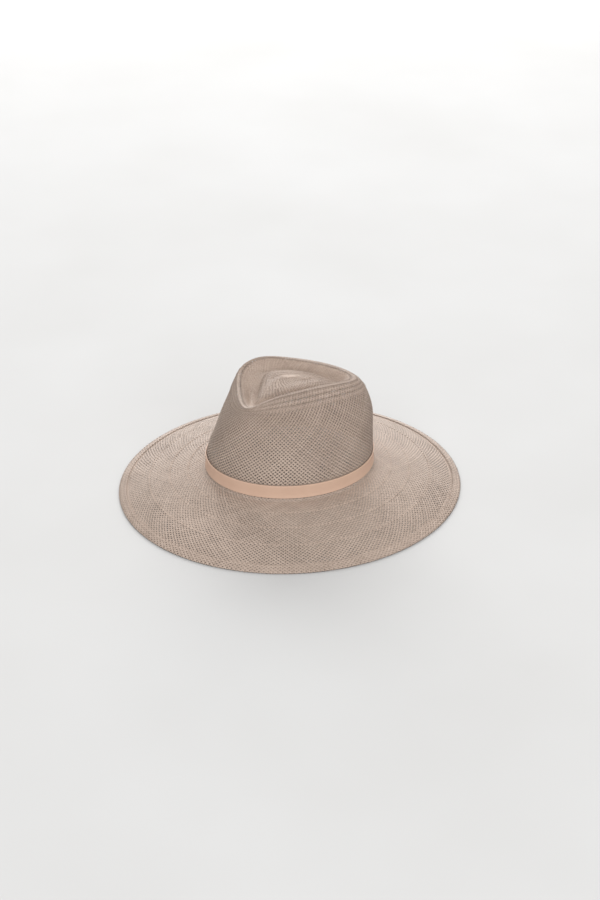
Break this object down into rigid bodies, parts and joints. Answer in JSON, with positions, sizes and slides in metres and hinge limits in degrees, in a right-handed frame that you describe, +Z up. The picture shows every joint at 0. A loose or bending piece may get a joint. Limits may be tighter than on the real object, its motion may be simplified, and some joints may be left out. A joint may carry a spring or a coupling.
{
  "type": "wide-brim straw hat",
  "caption": "Woven straw hat with a teardrop crown, a wide down-sloping brim with a folded hem and a plain leather band.",
  "frame": {"origin": "on the plane the brim rests on, under the middle of the brim", "axes": "+Z up through the crown, +Y to the back of the hat, +X to the wearer's left"},
  "size_m": [0.3818, 0.4218, 0.1549],
  "materials": {
    "straw": "matte woven straw",
    "leather": "satin, lightly grained"
  },
  "bodies": {
    "root": {"straw_body": "straw", "hat_band": "leather"}
  },
  "joints": []
}
